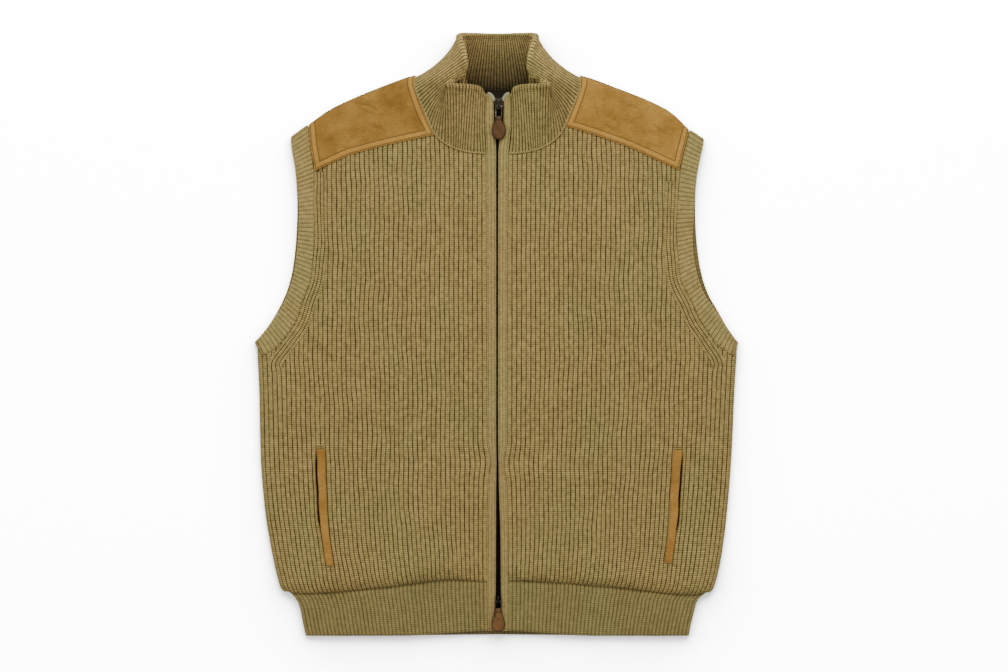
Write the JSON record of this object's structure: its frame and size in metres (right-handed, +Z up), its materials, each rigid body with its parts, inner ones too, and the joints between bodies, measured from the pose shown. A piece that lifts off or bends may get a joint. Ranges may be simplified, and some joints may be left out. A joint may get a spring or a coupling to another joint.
{
  "type": "zip vest",
  "caption": "Sleeveless full-zip vest in chunky rib knit, laid flat on its back, with a stand collar, suede shoulder patches and pocket welts, ribbed armhole bands and a ribbed hem.",
  "frame": {"origin": "centre of the bounding box's base: on the floor under the middle of the back panel", "axes": "+Z up from the floor, +Y from the hem to the neck, +X towards the wearer's left"},
  "size_m": [0.6028, 0.7538, 0.0413],
  "materials": {
    "body_knit": "half-cardigan rib knit, matt",
    "band_knit": "rib knit, matt",
    "placket_knit": "plain knit, matt",
    "tan_suede": "suede, napped",
    "zip_tape": "woven tape with moulded teeth along its edge",
    "aged_metal": "antique dark plating, satin",
    "brown_leather": "smooth, satin"
  },
  "bodies": {
    "garment": {"armhole_band_left": "band_knit", "armhole_band_right": "band_knit", "back_panel": "body_knit", "collar": "band_knit", "front_panel_left": "body_knit", "front_panel_right": "body_knit", "hem_back": "band_knit", "hem_front_left": "band_knit", "hem_front_right": "band_knit", "placket_left": "placket_knit", "placket_right": "placket_knit", "pocket_welt_left": "tan_suede", "pocket_welt_right": "tan_suede", "shoulder_patch_left": "tan_suede", "shoulder_patch_right": "tan_suede", "slider_bottom": "aged_metal", "slider_top": "aged_metal", "zip_tape_left": "zip_tape", "zip_tape_right": "zip_tape"},
    "pull_top": {"pull_top_ring": "aged_metal", "pull_top_tab": "brown_leather"},
    "pull_bottom": {"pull_bottom_ring": "aged_metal", "pull_bottom_tab": "brown_leather"}
  },
  "joints": [
    {"name": "pull_top_hinge", "type": "hinge", "parent": "garment", "child": "pull_top", "pos_m": [0.0028, 0.28496, 0.01598], "axis": [-1, 0, 0], "range_deg": [0, 150]},
    {"name": "pull_bottom_hinge", "type": "hinge", "parent": "garment", "child": "pull_bottom", "pos_m": [0.00225, -0.33325, 0.01159], "axis": [-1, 0, 0], "range_deg": [0, 150]}
  ]
}
